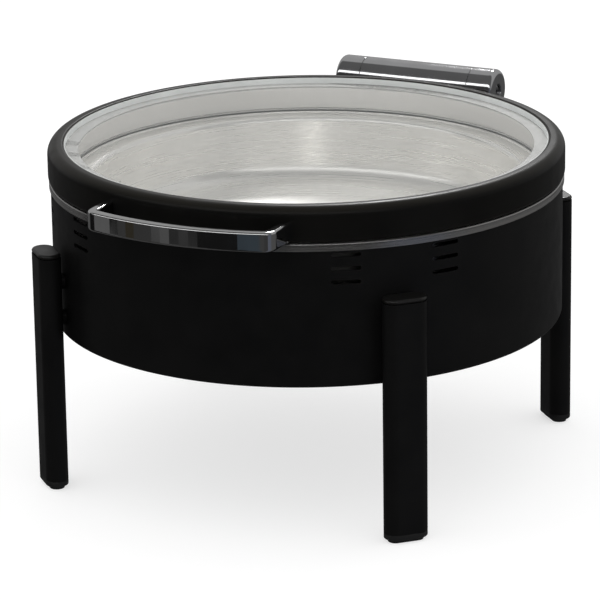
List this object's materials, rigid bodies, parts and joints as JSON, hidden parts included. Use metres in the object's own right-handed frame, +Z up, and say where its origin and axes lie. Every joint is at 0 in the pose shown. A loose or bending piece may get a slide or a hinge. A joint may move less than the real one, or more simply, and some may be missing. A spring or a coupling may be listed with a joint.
{
  "type": "hinged-lid chafer",
  "caption": "Round buffet chafer with a hinged glass-topped lid, a food pan in a water pan, and a vented skirt on flat-oval legs.",
  "frame": {"origin": "middle of the whole object's footprint, on the surface it stands on", "axes": "+Z up, -Y towards the lid handle, +Y towards the hinge, +X to the right seen from the handle"},
  "size_m": [0.448, 0.5224, 0.298],
  "materials": {
    "black_coating": "satin black powder coat",
    "black_lid_coating": "satin black powder coat",
    "black_plastic": "moulded matt black plastic",
    "screw_steel": "zinc-plated or stainless screw steel",
    "brushed_rim": "satin stainless steel",
    "pan_steel": "satin stainless steel, spun floor",
    "plate_steel": "brushed stainless plate",
    "hinge_chrome": "polished chrome plate",
    "handle_chrome": "polished chrome plate",
    "pin_steel": "ground steel",
    "liner_steel": "satin stainless steel",
    "clear_glass": "clear tempered glass",
    "grey_silicone": "grey silicone",
    "white_nylon": "natural nylon"
  },
  "bodies": {
    "stand": {"stand_skirt": "black_coating", "leg_front_right": "black_coating", "leg_front_left": "black_coating", "leg_rear_left": "black_coating", "leg_rear_right": "black_coating", "leg_caps": "black_coating", "leg_feet": "black_plastic", "leg_spacers": "black_coating", "leg_screws": "screw_steel", "leg_nuts": "screw_steel"},
    "vessel": {"water_pan": "brushed_rim", "food_pan": "pan_steel", "hinge_plate": "plate_steel", "knuckle_left": "hinge_chrome", "knuckle_right": "hinge_chrome", "knuckle_screws": "screw_steel", "hinge_pin": "pin_steel", "hinge_end_screws": "screw_steel", "torsion_spring": "pin_steel"},
    "lid": {"lid_frame": "black_lid_coating", "lid_liner": "liner_steel", "lid_glass": "clear_glass", "glass_seal": "grey_silicone", "lid_seal": "grey_silicone", "lid_handle": "handle_chrome", "handle_screws": "screw_steel", "handle_washers": "screw_steel", "hinge_barrel": "hinge_chrome", "hinge_bushes": "white_nylon", "saddle_screws": "screw_steel"}
  },
  "joints": [
    {"name": "vessel_lift", "type": "slide", "parent": "stand", "child": "vessel", "axis": [0, 0, 1], "range_m": [0, 0.1]},
    {"name": "lid_hinge", "type": "hinge", "parent": "vessel", "child": "lid", "pos_m": [0, 0.24125, 0.278], "axis": [-1, 0, 0], "range_deg": [0, 90]}
  ]
}
